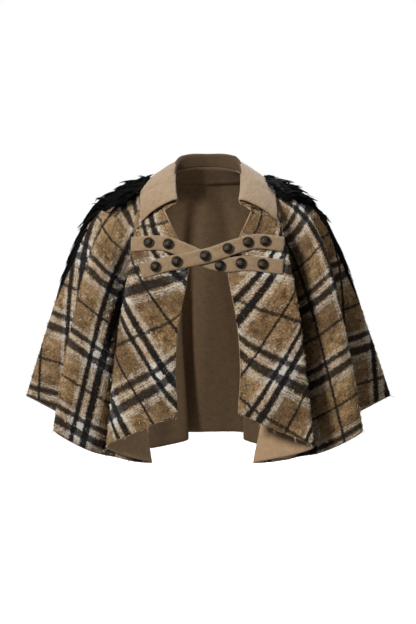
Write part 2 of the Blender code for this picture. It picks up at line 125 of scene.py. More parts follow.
# A material and the few nodes that the finishes share
class Finish(Nodes):
    def __init__(self, name, shader):
        self.material = bpy.data.materials.new(name)
        self.material.use_nodes = True
        super().__init__(self.material.node_tree)
        self.shader = self.tree.nodes["Principled BSDF"]
        for socket, value in shader.items():
            self.set(socket, value)

    def set(self, name, value):
        plug(self.tree, self.shader.inputs[name], value)

    def attribute(self, name, out="Vector"):
        return self.node("ShaderNodeAttribute", {"attribute_name": name}, {}, out)

    def place(self):
        return self.node("ShaderNodeTexCoord", {}, {}, "Object")

    def noise(self, place, look, out=0):
        scale, detail, rough, distortion = look
        sockets = {"Vector": place, "Scale": scale, "Detail": detail,
                   "Roughness": rough, "Distortion": distortion}
        return self.node("ShaderNodeTexNoise", {}, sockets, out)

    def step(self, value, low, high, start=0.0, end=1.0):
        sockets = {0: value, 1: low, 2: high, 3: start, 4: end}
        return self.node("ShaderNodeMapRange", {"interpolation_type": "SMOOTHSTEP"}, sockets)

    def mix(self, share, first, second):
        return self.node("ShaderNodeMix", {"data_type": "RGBA"}, {0: share, 6: first, 7: second}, 2)

    def vector(self, operation, first, second):
        return self.node("ShaderNodeVectorMath", {"operation": operation}, {0: first, 1: second})

    def parts(self, place):
        split = self.node("ShaderNodeSeparateXYZ", {}, {0: place})
        return [split.beside(axis) for axis in "XYZ"]

    def bump(self, height, distance, strength):
        sockets = {"Height": height, "Distance": distance, "Strength": strength}
        self.set("Normal", self.node("ShaderNodeBump", {}, sockets))


def tone(red, green, blue):
    return (red, green, blue, 1.0)


# The cloth of the panels: camel ground with brown blotches, a broad and a narrow dark band with
# fine pale lines between and beside them, and one thin dark line; sizes in metres of the flat cut
checkCloth = {
    "repeat": 0.146,
    "bands": {            # centre as a share of the repeat, width, cover across, cover along, blotches
        "pale": [
            (0.285, 0.0020, 0.55, 0.50, 5.7),
            (0.310, 0.0022, 0.65, 0.60, 5.7),
            (0.337, 0.0026, 0.80, 0.74, 5.1),
            (0.492, 0.0026, 0.82, 0.74, 5.1),
            (0.524, 0.0026, 0.82, 0.74, 5.1),
            (0.642, 0.0026, 0.74, 0.68, 5.4),
            (0.668, 0.0022, 0.55, 0.50, 5.7),
        ],
        "dark": [
            (0.415, 0.0135, 1.10, 1.00, 3.6),
            (0.585, 0.0088, 1.08, 0.98, 3.6),
            (0.985, 0.0052, 1.02, 0.88, 3.6),
        ],
    },
    "bandEdge": 0.0005,                        # half of a band's soft edge
    "mostAcross": 1.0, "mostAlong": 0.93,      # the bands are blackest where they cross
    "zoneCentre": 0.475,                       # soft pale ground round the bands, as a share
    "zoneSlub": 0.05, "zoneTuft": 0.10, "zoneCover": 0.6,
    "brown": tone(0.120, 0.059, 0.019),
    "camel": tone(0.400, 0.240, 0.104),
    "straw": tone(0.660, 0.450, 0.235),
    "pale": tone(0.880, 0.800, 0.670),
    "white": tone(0.930, 0.890, 0.820),
    "dark": tone(0.0060, 0.0055, 0.0055),
    "wander": {"drift": 0.0020, "fray": 0.0115},      # how far the threads stray
    "twillHalf": 0.0017, "slubStretch": 3.4,
    "noise": {            # scale, detail, roughness, distortion
        "drift": (38.0, 2.0, 0.50, 0.0), "fray": (300.0, 3.0, 0.75, 0.0),
        "grain": (165.0, 3.0, 0.72, 2.2), "slub": (110.0, 2.0, 0.60, 0.0),
        "speck": (430.0, 2.0, 0.70, 0.0), "patch": (70.0, 3.0, 0.62, 0.0),
        "broad": (26.0, 2.0, 0.50, 0.0), "region": (10.0, 1.0, 0.50, 0.0),
        "fleck": (380.0, 1.0, 0.50, 0.0),
    },
    "curl": {"Scale": 330.0, "Smoothness": 0.5},
    "mottle": {"patch": 0.30, "grain": 0.50, "speck": 0.20, "broad": 0.16, "zone": 0.010},
    "thread": {"slub": 0.35, "speck": 0.35, "grain": 0.30, "twill": 0.25},
    "worn": {"patch": 0.6, "broad": 0.4}, "tuft": {"patch": 0.5, "grain": 0.5},
    "relief": {"curl": 0.6, "grain": 0.8, "twill": 0.2},
    "steps": {            # where a cover starts and ends, and how much it is there
        "twill": (0.0005, 0.0012, 0.0, 1.0), "zone": (0.0126, 0.036, 1.0, 0.0),
        "camel": (0.430, 0.475, 0.0, 1.0), "straw": (0.520, 0.560, 0.0, 1.0),
        "paleSlub": (0.63, 0.70, 0.0, 0.8), "brownSlub": (0.60, 0.70, 0.0, 0.6),
        "brownRegion": (0.48, 0.62, 0.0, 0.55), "strawRegion": (0.30, 0.44, 0.35, 0.0),
        "fleck": (0.70, 0.76, 0.0, 0.7), "curl": (0.46, 0.70, 0.0, 0.35),
        "worn": (0.36, 0.60, 0.45, 1.15), "stray": (0.63, 0.68, 0.0, 0.9),
        "tuft": (0.545, 0.585, 0.0, 1.0),
        "hollow": (0.012, 0.042, 0.0, 0.60),   # painted shade: deep creases turn dark, by the depth of a crease in metres
    },
    "bump": (0.0020, 0.9),
    "shader": {"Roughness": 0.95, "Sheen Weight": 0.06, "Sheen Roughness": 0.6, "Specular IOR Level": 0.12},
}


def finishCheck():
    spec = checkCloth
    cloth = Finish("checkCloth", spec["shader"])
    flat = cloth.attribute("flatCut")

    def noise(name, place=flat):
        return cloth.noise(place, spec["noise"][name])

    def step(name, value):
        return cloth.step(value, *spec["steps"][name])

    def away(run, centre):
        return abs((run - centre * spec["repeat"]).wrapped(spec["repeat"] / 2))

    def blend(weights, **values):
        return sum(value * spec[weights][name] for name, value in values.items())

    place = flat
    for name, reach in spec["wander"].items():
        loose = cloth.vector("SUBTRACT", cloth.noise(flat, spec["noise"][name], 1), (0.5, 0.5, 0.5))
        place = cloth.vector("ADD", place, cloth.vector("MULTIPLY", loose, (reach, reach, 1.0)))
    across, along, _ = cloth.parts(place)
    twill = step("twill", abs((across + along).wrapped(spec["twillHalf"])))
    grain, speck, patch, broad, region = map(noise, ("grain", "speck", "patch", "broad", "region"))
    stretches = ((1.0, spec["slubStretch"], 1.0), (spec["slubStretch"], 1.0, 1.0))
    slubs = [noise("slub", cloth.vector("MULTIPLY", flat, stretch)) for stretch in stretches]
    zones = [step("zone", away(run, spec["zoneCentre"])) for run in (across, along)]
    crossing = zones[0] * zones[1]
    mottle = blend("mottle", patch=patch, grain=grain, speck=speck, broad=broad - 0.5,
                   zone=zones[0] + zones[1] - 0.5)
    colour = spec["brown"]
    for name, value, over in (("camel", mottle, "camel"), ("straw", mottle, "straw"),
                              ("paleSlub", slubs[0] + zones[0] * spec["zoneSlub"], "pale"),
                              ("brownSlub", slubs[1], "brown"),
                              ("brownRegion", region, "brown"), ("strawRegion", region, "straw")):
        colour = cloth.mix(step(name, value), colour, spec[over])
    fleck = step("fleck", noise("fleck"))
    colour = cloth.mix(fleck.most(cloth.attribute("shade", "Fac")), colour, spec["pale"])
    curl = cloth.node("ShaderNodeTexVoronoi", {"feature": "SMOOTH_F1"}, {"Vector": place, **spec["curl"]})
    colour = cloth.mix(step("curl", curl), colour, spec["brown"])
    worn = step("worn", blend("worn", patch=patch, broad=broad))
    threads = [blend("thread", slub=slub, speck=speck, grain=grain) - 0.5 for slub in slubs]
    rib = (twill - 0.5) * spec["thread"]["twill"]
    for kind, bands in spec["bands"].items():
        for centre, width, coverAcross, coverAlong, blotches in bands:
            for run, thread, cover, most in ((across, threads[0], coverAcross, spec["mostAcross"]),
                                             (along, threads[1], coverAlong, spec["mostAlong"])):
                edges = (width / 2 - spec["bandEdge"], width / 2 + spec["bandEdge"])
                band = cloth.step(away(run, centre), *edges, 1.0, 0.0)
                shown = cover + thread * blotches + rib
                if kind == "pale":
                    shown = shown * worn + crossing * spec["zoneCover"]
                colour = cloth.mix(band * shown.most(0.0).least(most), colour, spec[kind])
        if kind == "pale":
            stray = step("stray", slubs[0]).most(step("stray", slubs[1])) * zones[0].most(zones[1])
            colour = cloth.mix(stray, colour, spec["pale"])
            tuft = blend("tuft", patch=patch, grain=grain) + crossing * spec["zoneTuft"]
            colour = cloth.mix(step("tuft", tuft) * crossing, colour, spec["white"])
    # painted shade: the cloth is darkened towards black in deep creases, by their depth
    colour = cloth.mix(step("hollow", cloth.attribute("hollow", "Fac")), colour, spec["dark"])
    cloth.set("Base Color", colour)
    cloth.bump(blend("relief", curl=curl, grain=grain, twill=twill), *spec["bump"])
    return cloth.material


# Plain felted side of the cloth, and the heavier felt of collar and straps
felt = {
    "kinds": {            # light tone, deep tone, sheen
        "camelFelt": (tone(0.312, 0.214, 0.122), tone(0.204, 0.134, 0.073), 0.35),
        # the inside's own camel, lightened past the outer felt to make up for the dim light inside: partly
        # painted light
        "camelInside": (tone(0.420, 0.276, 0.156), tone(0.300, 0.190, 0.102), 0.35),
        # painted shade: a dark copy of the camel felt, for the stand's side that faces the neck
        "neckInside": (tone(0.088, 0.054, 0.029), tone(0.061, 0.037, 0.019), 0.06),
    },
    # noise in the cloth's order: scale, detail, roughness, distortion
    "mottle": (90.0, 4.0, 0.6, 0.0), "hair": (520.0, 3.0, 0.7, 0.0), "pile": (300.0, 2.0, 0.7, 0.0),
    "hairStretch": (1.0, 2.6, 1.0),
    "colourShares": (0.30, 0.35, 0.35), "colourStep": (0.38, 0.60),      # of mottle, hair and pile
    "reliefShares": (0.7, 0.5), "bump": (0.0009, 0.5),                   # of hair and mottle
    "shader": {"Roughness": 0.95, "Sheen Roughness": 0.5, "Specular IOR Level": 0.2},
}


def finishFelt(name):
    light, deep, sheen = felt["kinds"][name]
    cloth = Finish(name, felt["shader"])
    flat = cloth.attribute("flatCut")
    mottle = cloth.noise(flat, felt["mottle"])
    hair = cloth.noise(cloth.vector("MULTIPLY", flat, felt["hairStretch"]), felt["hair"])
    pile = cloth.noise(flat, felt["pile"])
    byMottle, byHair, byPile = felt["colourShares"]
    blend = mottle * byMottle + hair * byHair + pile * byPile
    cloth.set("Base Color", cloth.mix(cloth.step(blend, *felt["colourStep"]), deep, light))
    cloth.set("Sheen Weight", sheen)
    byHair, byMottle = felt["reliefShares"]
    cloth.bump(hair * byHair + mottle * byMottle, *felt["bump"])
    return cloth.material


# Dark metal of the buttons, worn bright where it is raised
bronze = {
    "raised": tone(0.078, 0.058, 0.035), "hollow": tone(0.010, 0.008, 0.006),
    "wear": (900.0, 3.0, 0.6, 0.0), "wearDepth": 0.5, "step": (0.25, 0.85),
    "smoothest": 0.30, "wearRough": 0.30, "bump": (0.0003, 0.4),
    "shader": {"Metallic": 0.85},
}


def finishBronze():
    metal = Finish("agedBronze", bronze["shader"])
    wear = metal.noise(metal.place(), bronze["wear"])
    height = metal.attribute("relief", "Fac") + (wear - 0.5) * bronze["wearDepth"]
    colour = metal.mix(metal.step(height, *bronze["step"]), bronze["hollow"], bronze["raised"])
    metal.set("Base Color", colour)
    metal.set("Roughness", bronze["smoothest"] + wear * bronze["wearRough"])
    metal.bump(wear, *bronze["bump"])
    return metal.material


# Black yarn of the shoulder fringes
yarn = {
    "dark": tone(0.0012, 0.0012, 0.0013), "lit": tone(0.0042, 0.0040, 0.0042),
    "streak": (260.0, 2.0, 0.6, 0.0), "smoothest": 0.5, "streakRough": 0.25,
    "shader": {"Specular IOR Level": 0.08},
}


def finishYarn():
    thread = Finish("fringeYarn", yarn["shader"])
    streak = thread.noise(thread.place(), yarn["streak"])
    thread.set("Base Color", thread.mix(streak, yarn["dark"], yarn["lit"]))
    thread.set("Roughness", yarn["smoothest"] + streak * yarn["streakRough"])
    return thread.material


checkFinish = finishCheck()
feltFinish, innerFinish, neckShadeFinish = map(finishFelt, felt["kinds"])
bronzeFinish = finishBronze()
yarnFinish = finishYarn()
print("finishes made")


# The cut of the cape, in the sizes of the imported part
cape = {
    "wall": 0.0026, "seamGap": 0.0004,
    "rows": 112, "perRib": 18, "pathPoints": 240,
    "shoulderPull": 2.6, "foldRounding": 0.7,
    "neck": [             # share round the neck, out, y, z
        (0.00, 0.0816, -0.097, -0.045),
        (0.25, 0.0840, -0.044, -0.009),
        (0.50, 0.0730, 0.006, 0.028),
        (0.78, 0.0440, 0.050, 0.049),
        (1.00, 0.0000, 0.066, 0.054),
    ],
    "ribs": [             # name, share, corner out right and left, corner y, z, hem out right and left, y, z
        ("front edge", 0.00, 0.050, 0.050, -0.122, -0.105, 0.056, 0.055, -0.152, -0.420),
        ("front middle", 0.10, 0.098, 0.098, -0.121, -0.090, 0.120, 0.124, -0.162, -0.450),
        ("front crest", 0.22, 0.146, 0.156, -0.110, -0.068, 0.187, 0.193, -0.144, -0.482),
        ("front trough", 0.34, 0.182, 0.186, -0.090, -0.046, 0.108, 0.086, -0.082, -0.518),
        ("side front", 0.38, 0.196, 0.196, -0.070, -0.037, 0.2125, 0.2105, -0.080, -0.500),
        ("side crest", 0.42, 0.216, 0.214, -0.058, -0.028, 0.288, 0.291, -0.080, -0.458),
        ("side trough", 0.48, 0.230, 0.222, -0.014, -0.016, 0.258, 0.260, -0.004, -0.446),
        ("arm crest", 0.53, 0.243, 0.233, 0.024, -0.012, 0.353, 0.354, 0.032, -0.398),
        ("arm trough", 0.60, 0.220, 0.214, 0.060, -0.012, 0.266, 0.266, 0.078, -0.452),
        ("back crest", 0.70, 0.176, 0.174, 0.097, -0.010, 0.255, 0.252, 0.144, -0.480),
        ("back trough", 0.80, 0.120, 0.120, 0.115, -0.008, 0.160, 0.165, 0.112, -0.508),
        ("back fold", 0.90, 0.058, 0.062, 0.121, -0.006, 0.040, 0.076, 0.150, -0.490),
        ("back tuck", 0.95, 0.030, 0.036, 0.122, -0.006, 0.064, 0.098, 0.176, -0.482),
        ("centre back", 1.00, 0.000, 0.000, 0.122, -0.006, 0.000, 0.000, 0.178, -0.478),
    ],
    "frontEdge": [        # z, half of the gap between the fronts
        (-0.420, 0.0560), (-0.340, 0.0600), (-0.240, 0.0520), (-0.175, 0.0395),
        (-0.148, 0.0365), (-0.096, 0.0570), (-0.040, 0.0840),
    ],
    "creases": [          # from rib and share down, to rib and share down, width, height
        (3.20, 0.14, 3.90, 1.16, 0.024, -0.0520),
        (22.92, 0.14, 22.18, 1.16, 0.024, -0.0520),
        (4.45, 0.30, 4.50, 1.12, 0.030, 0.0070),
        (21.38, 0.30, 21.30, 1.12, 0.030, 0.0070),
        (6.06, 0.26, 6.42, 1.12, 0.015, -0.0110),
        (19.94, 0.26, 19.60, 1.12, 0.015, -0.0110),
        (1.35, 0.52, 1.50, 0.98, 0.016, -0.0036),
        (0.45, 0.48, 0.62, 0.96, 0.014, 0.0024),
        (1.95, 0.36, 1.90, 0.88, 0.010, 0.0020),
        (0.95, 0.50, 0.80, 0.74, 0.010, -0.0020),
        (4.35, 0.14, 4.70, 0.50, 0.008, 0.0034),
        (4.75, 0.16, 5.05, 0.44, 0.007, -0.0030),
        (5.35, 0.22, 5.45, 0.72, 0.010, -0.0026),
        (5.20, 0.66, 5.10, 0.98, 0.012, 0.0024),
        (6.45, 0.44, 6.55, 0.96, 0.012, -0.0030),
        (7.40, 0.50, 7.30, 0.90, 0.014, 0.0026),
        (8.40, 0.30, 8.55, 0.94, 0.014, -0.0034),
        (9.45, 0.26, 9.60, 0.90, 0.018, 0.0034),
        (10.55, 0.16, 10.50, 1.08, 0.024, 0.0110),
        (12.05, 0.06, 12.28, 1.12, 0.015, 0.0125),
        (13.92, 0.06, 13.72, 1.12, 0.015, 0.0080),
        (13.45, 0.24, 13.60, 0.76, 0.012, 0.0022),
        (15.60, 0.30, 15.50, 0.86, 0.016, 0.0034),
        (16.50, 0.26, 16.60, 0.94, 0.018, -0.0036),
        (17.55, 0.34, 17.45, 0.84, 0.014, 0.0030),
        (18.55, 0.48, 18.60, 0.95, 0.014, -0.0028),
        (19.50, 0.46, 19.42, 0.94, 0.012, 0.0026),
        (20.60, 0.28, 20.55, 0.78, 0.010, -0.0028),
        (21.35, 0.16, 21.05, 0.46, 0.008, 0.0032),
        (21.65, 0.18, 21.45, 0.52, 0.007, -0.0028),
        (24.05, 0.38, 24.15, 0.92, 0.012, 0.0022),
        (24.60, 0.50, 24.45, 0.97, 0.016, -0.0034),
        (25.40, 0.50, 25.30, 0.92, 0.013, 0.0024),
        (25.05, 0.48, 25.20, 0.70, 0.010, -0.0018),
    ],
    "creasePoints": 90, "creaseBow": 0.12, "creaseReach": 1.4,      # bow and reach in ribs
    "creaseEnds": (0.02, 0.98), "creaseFade": 0.6,
    "hemWave": 0.0016, "hemWaveFrom": 0.45, "hemWavePower": 1.5,
    "hemWaves": [         # strength, pace round, start, pace down
        (1.0, 5.3, 0.7, 0.0), (0.7, 8.9, 2.1, 0.0), (0.5, 13.7, 0.0, 6.0),
    ],
}
# piece, node, from rib, to rib, rib on the grain, turn of the grain, shift of the check, flat size, area
panels = [
    ("frontRight", "front_right", 0, 3, 1, 45.0, (0.010, 0.030), (0.28, 0.55), 0.082),
    ("sideRight", "side_right", 3, 9, 6, 4.0, (0.020, 0.014), (0.60, 0.57), 0.214),
    ("backPanel", "back", 9, 17, 13, 0.0, (0.044, 0.020), (0.70, 0.58), 0.264),
    ("sideLeft", "side_left", 17, 23, 20, -4.0, (0.058, 0.050), (0.61, 0.57), 0.216),
    ("frontLeft", "front_left", 23, 26, 25, -45.0, (0.036, 0.004), (0.31, 0.55), 0.087),
]


def unit(vectors):
    return vectors / np.linalg.norm(vectors, axis=-1, keepdims=True)


def smoothCurve(knots, values, at):
    knots = np.asarray(knots, float)
    values = np.asarray(values, float)
    at = np.asarray(at, float)
    slopes = np.gradient(values, knots, axis=0)
    left = np.clip(np.searchsorted(knots, at, side="right") - 1, 0, len(knots) - 2)
    width = (knots[left + 1] - knots[left])[:, None]
    t = ((at - knots[left]) / width[:, 0])[:, None]
    start = (1 + 2 * t) * (1 - t) ** 2 * values[left] + t * (1 - t) ** 2 * width * slopes[left]
    end = t * t * (3 - 2 * t) * values[left + 1] + t * t * (t - 1) * width * slopes[left + 1]
    return start + end


# A half table read at a share from 0 at the right front end to 2 at the left one
def byShare(table, share):
    rows = np.array(table)
    mirrored = rows[::-1][1:].copy()
    mirrored[:, 0] = 2.0 - mirrored[:, 0]
    mirrored[:, 1] *= -1.0
    if rows.shape[1] > 4:      # a roll line also has the share where the fall lies
        mirrored[:, 4] = 2.0 - mirrored[:, 4]
    full = np.vstack([rows, mirrored])
    return smoothCurve(full[:, 0], full[:, 1:], np.atleast_1d(share))


def ribPath(rib, side, count):
    name, share, cornerRight, cornerLeft, cornerY, cornerZ, hemRight, hemLeft, hemY, hemZ = rib
    mirror = np.array([side, 1.0, 1.0])
    neck = byShare(cape["neck"], share)[0] * mirror
    corner = np.array([cornerRight if side < 0 else cornerLeft, cornerY, cornerZ]) * mirror
    hem = np.array([hemRight if side < 0 else hemLeft, hemY, hemZ]) * mirror
    t = np.linspace(0.0, 1.0, cape["pathPoints"])[:, None]
    pull = 2 * cape["shoulderPull"] * t * (1 - t)
    path = ((1 - t) ** 2 * neck + pull * corner + t * t * hem) / ((1 - t) ** 2 + pull + t * t)
    if name == "front edge":
        edge = np.array(cape["frontEdge"])
        path[:, 0] = side * smoothCurve(edge[:, 0], edge[:, 1:], path[:, 2])[:, 0]
    length = np.concatenate([[0.0], np.cumsum(np.linalg.norm(np.diff(path, axis=0), axis=1))])
    even = np.linspace(0.0, length[-1], count)
    return np.stack([np.interp(even, length, path[:, axis]) for axis in range(3)], axis=1)


# The whole cape as one grid: rows from neck to hem, columns from right front to left front
def layCloth():
    count = cape["rows"] + 1
    right = [ribPath(rib, -1, count) for rib in cape["ribs"]]
    left = [ribPath(rib, 1, count) for rib in cape["ribs"][-2::-1]]
    ribs = np.array(right + left)
    spots = np.arange((len(ribs) - 1) * cape["perRib"] + 1) / cape["perRib"]
    rows = []
    for row in range(count):
        ring = ribs[:, row]
        gaps = np.linalg.norm(np.diff(ring, axis=0), axis=1) ** cape["foldRounding"]
        knots = np.concatenate([[0.0], np.cumsum(gaps)])
        rows.append(smoothCurve(knots, ring, np.interp(spots, np.arange(len(ribs)), knots)))
    return np.array(rows)


def normalsOf(points):
    across = unit(np.gradient(points, axis=1))
    down = unit(np.gradient(points, axis=0))
    return unit(np.cross(across, down))


def columnOf(name, side):
    index = [rib[0] for rib in cape["ribs"]].index(name)
    if side > 0:
        index = 2 * (len(cape["ribs"]) - 1) - index
    return index * cape["perRib"]


def columnAtShare(share):
    shares = [rib[1] for rib in cape["ribs"]]
    shares = shares + [2.0 - value for value in shares[-2::-1]]
    return np.interp(share, shares, np.arange(len(shares))) * cape["perRib"]


def readGrid(grid, row, column):
    row = np.clip(row, 0.0, grid.shape[0] - 1.001)
    column = np.clip(column, 0.0, grid.shape[1] - 1.001)
    i = np.floor(row).astype(int)
    j = np.floor(column).astype(int)
    a = np.asarray(row - i)[..., None]
    b = np.asarray(column - j)[..., None]
    upper = grid[i, j] * (1 - b) + grid[i, j + 1] * b
    lower = grid[i + 1, j] * (1 - b) + grid[i + 1, j + 1] * b
    return upper * (1 - a) + lower * a


def runDown(points):
    steps = np.linalg.norm(np.diff(points, axis=0), axis=-1)
    return np.concatenate([np.zeros_like(steps[:1]), np.cumsum(steps, axis=0)])


def rowAt(points, column, distance):
    j = int(round(min(column, points.shape[1] - 1)))
    run = runDown(points[:, j])
    return np.interp(distance, run, np.arange(len(run)))


# Presses the soft creases into the grid, along its normals, and gives each point's crease depth for the
# painted crease shade
def pressCreases(points, normals):
    rows, columns = points.shape[:2]
    height = np.zeros((rows, columns))
    t = np.linspace(0.0, 1.0, cape["creasePoints"])
    fade = np.sin(np.clip(t, *cape["creaseEnds"]) * math.pi) ** cape["creaseFade"]
    reach = cape["creaseReach"] * cape["perRib"]
    for ribFrom, downFrom, ribTo, downTo, width, depth in cape["creases"]:
        bow = cape["creaseBow"] * np.sin(t * math.pi) * (1 if depth > 0 else -1)
        column = (ribFrom + (ribTo - ribFrom) * t + bow) * cape["perRib"]
        line = readGrid(points, (downFrom + (downTo - downFrom) * t) * (rows - 1), column)
        low = max(0, int(column.min() - reach))
        high = min(columns, int(column.max() + reach))
        near = np.zeros((rows, high - low))
        for spot, strength in zip(line, fade):
            distance = ((points[:, low:high] - spot) ** 2).sum(axis=-1)
            near = np.maximum(near, strength * np.exp(-distance / width ** 2))
        height[:, low:high] += depth * near
    u = np.arange(columns) / cape["perRib"]
    v = np.linspace(0.0, 1.0, rows)[:, None]
    wave = sum(strength * np.sin(u * pace + start + v * down)
               for strength, pace, start, down in cape["hemWaves"])
    low = cape["hemWaveFrom"]
    height += cape["hemWave"] * wave * np.clip((v - low) / (1.0 - low), 0.0, 1.0) ** cape["hemWavePower"]
    return points + normals * height[..., None], np.maximum(-height, 0.0)


# Lays a panel flat: every column becomes a straight line that leaves the neck seam
def flatten(points, home, turn, shift):
    run = runDown(points)
    neckStep = np.linalg.norm(np.diff(points[0], axis=0), axis=1)
    hemStep = np.linalg.norm(np.diff(points[-1], axis=0), axis=1)
    angle = np.concatenate([[0.0], np.cumsum((hemStep - neckStep) / run[-1].mean())])
    angle -= angle[home]
    middle = (angle[1:] + angle[:-1]) / 2
    x = np.concatenate([[0.0], np.cumsum(neckStep * np.cos(middle))])
    y = np.concatenate([[0.0], np.cumsum(neckStep * np.sin(middle))])
    x = x - x[home] + run * np.sin(angle)
    y = y - y[home] - run * np.cos(angle)
    bias = math.radians(turn)
    flat = np.stack([x * math.cos(bias) - y * math.sin(bias) + shift[0],
                     x * math.sin(bias) + y * math.cos(bias) + shift[1], np.zeros_like(x)], axis=-1)
    return flat, (x.max() - x.min(), y.max() - y.min())


# A smooth mesh with its finishes
def makePiece(name, places, faces, finishes):
    mesh = bpy.data.meshes.new(name)
    mesh.from_pydata(places.tolist(), [], faces)
    mesh.polygons.foreach_set("use_smooth", np.ones(len(faces), bool))
    for finish in finishes:
        mesh.materials.append(finish)
    piece = bpy.data.objects.new(name, mesh)
    scene.collection.objects.link(piece)
    return piece


def addValues(piece, name, values):
    layer = piece.data.attributes.new(name, "FLOAT", "POINT")
    layer.data.foreach_set("value", values)


# A closed wall between an outer and an inner grid, with a rounded rim
def clothWall(name, outer, inner, flat, finishes, rimFinish=1, rim=0.35):
    rows, columns = outer.shape[:2]
    size = rows * columns
    middle = (outer + inner) / 2
    thick = np.linalg.norm(outer - inner, axis=-1, keepdims=True)
    push = np.zeros_like(outer)
    across = unit(np.gradient(middle, axis=1))
    down = unit(np.gradient(middle, axis=0))
    push[0] -= down[0]
    push[-1] += down[-1]
    push[:, 0] -= across[:, 0]
    push[:, -1] += across[:, -1]
    edge = [(0, j) for j in range(columns)] + [(i, columns - 1) for i in range(1, rows)]
    edge += [(rows - 1, j) for j in range(columns - 2, -1, -1)] + [(i, 0) for i in range(rows - 2, 0, -1)]
    loop = np.array([i * columns + j for i, j in edge])
    bulged = (middle + push * thick * rim).reshape(-1, 3)[loop]
    places = np.concatenate([outer.reshape(-1, 3), inner.reshape(-1, 3), bulged])
    spread = np.concatenate([flat.reshape(-1, 3), flat.reshape(-1, 3), flat.reshape(-1, 3)[loop]])
    a = (np.arange(rows - 1)[:, None] * columns + np.arange(columns - 1)).reshape(-1)
    front = np.stack([a, a + 1, a + columns + 1, a + columns], axis=1)
    back = np.stack([a, a + columns, a + columns + 1, a + 1], axis=1) + size
    after = np.roll(loop, -1)
    ring = np.arange(len(loop)) + 2 * size
    ringAfter = np.roll(ring, -1)
    upper = np.stack([after, loop, ring, ringAfter], axis=1)
    lower = np.stack([ringAfter, ring, loop + size, after + size], axis=1)
    faces = np.concatenate([front, back, upper, lower])
    piece = makePiece(name, places, faces.tolist(), finishes)
    index = np.ones(len(faces), int)
    index[:len(front)] = 0
    index[len(front) + len(back):] = rimFinish
    piece.data.polygons.foreach_set("material_index", index)
    layer = piece.data.attributes.new("flatCut", "FLOAT_VECTOR", "POINT")
    layer.data.foreach_set("vector", spread.reshape(-1))
    piece.data.update()
    return piece


def dress(piece, slot, *nodes):
    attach(piece, "root")
    if nodes:
        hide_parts(*nodes)


smooth = layCloth()
smoothNormals = normalsOf(smooth)
creased, creaseShadeDepths = pressCreases(smooth, smoothNormals)
outward = normalsOf(creased)
clothPieces = {}
for piece, node, ribFrom, ribTo, grainRib, turn, shift, flatSize, area in panels:
    first = ribFrom * cape["perRib"]
    last = ribTo * cape["perRib"]
    points = creased[:, first:last + 1].copy()
    across = unit(np.gradient(points, axis=1))
    points[:, 0] += across[:, 0] * cape["seamGap"] / 2
    points[:, -1] -= across[:, -1] * cape["seamGap"] / 2
    normals = outward[:, first:last + 1] * cape["wall"] / 2
    flat, cut = flatten(smooth[:, first:last + 1], grainRib * cape["perRib"] - first, turn, shift)
    made = clothWall(piece, points + normals, points - normals, flat, (checkFinish, innerFinish))
    depths = np.zeros(len(made.data.vertices))      # how deep in a crease, on the outer side only; the cloth paints shade there
    depths[:points[..., 0].size] = creaseShadeDepths[:, first:last + 1].reshape(-1)
    addValues(made, "hollow", depths)
    dress(made, "check_cloth", node)
    clothPieces[piece] = (made, flatSize, area)
    print(f"{piece}: flat {cut[0]:.3f} by {cut[1]:.3f} m")
print("panels laid")


# Flat place of each point: along the piece and across it
def spreadOut(name, points):
    run = runDown(points)
    along = runDown(points.transpose(1, 0, 2)).transpose(1, 0)
    print(f"{name}: flat {along.max():.3f} by {run.max():.3f} m")
    return np.stack([along, run, np.zeros_like(run)], axis=-1)


# Collar: stand, roll and fall in one folded wall
collar = {
    "wall": 0.0024, "columns": 132, "sections": 34,
    "standLift": 0.0014, "standInset": 0.0008, "standHollow": 0.001,
    "rollRadius": 0.0028, "rollStep": 0.01,
    "fallClear": 0.0012, "fallBulge": 0.010, "fallLean": 0.5, "fallShares": (0.33, 0.67),
    "rollLine": [         # share, out, y, z, share where the fall lies, reach
        (0.00, 0.060, -0.080, -0.025, 0.215, 0.074),
        (0.30, 0.064, -0.028, 0.013, 0.400, 0.058),
        (0.55, 0.061, 0.024, 0.051, 0.600, 0.048),
        (0.78, 0.048, 0.050, 0.073, 0.810, 0.042),
        (1.00, 0.000, 0.064, 0.077, 1.000, 0.040),
    ],
    "flat": (0.584, 0.120), "area": 0.0447,
}


def collarSection(share):
    spec = collar
    seam = readGrid(smooth, 0.0, columnAtShare(share))
    x, y, z, liesAt, reach = byShare(spec["rollLine"], share)[0]
    roll = np.array([-x, y, z])
    edgeColumn = columnAtShare(liesAt)
    edgeRow = rowAt(smooth, edgeColumn, reach)
    lift = (cape["wall"] + spec["wall"]) / 2 + spec["fallClear"]
    edge = readGrid(smooth, edgeRow, edgeColumn) + readGrid(smoothNormals, edgeRow, edgeColumn) * lift
    up = np.array([0.0, 0.0, 1.0])
    away = edge - roll
    away = unit(away - up * away[2])
    foot = seam + up * spec["standLift"] - away * spec["standInset"]
    rise = unit(roll - foot)
    before, after = byShare(spec["rollLine"], [share - spec["rollStep"], share + spec["rollStep"]])[:, :3]
    over = unit(np.cross(rise, (after - before) * (-1.0, 1.0, 1.0)))
    crest = roll + (over + rise) * spec["rollRadius"]
    turn = roll + over * 2 * spec["rollRadius"]
    bow = (turn + edge) / 2 + up * spec["fallBulge"] + away * spec["fallBulge"] * spec["fallLean"]
    section = [foot, (foot + roll) / 2 - away * spec["standHollow"], roll, crest, turn]
    for t in spec["fallShares"]:
        section.append((1 - t) ** 2 * turn + 2 * t * (1 - t) * bow + t * t * edge)
    section = np.array(section + [edge])
    knots = runDown(section)
    return smoothCurve(knots, section, np.linspace(0.0, knots[-1], spec["sections"]))


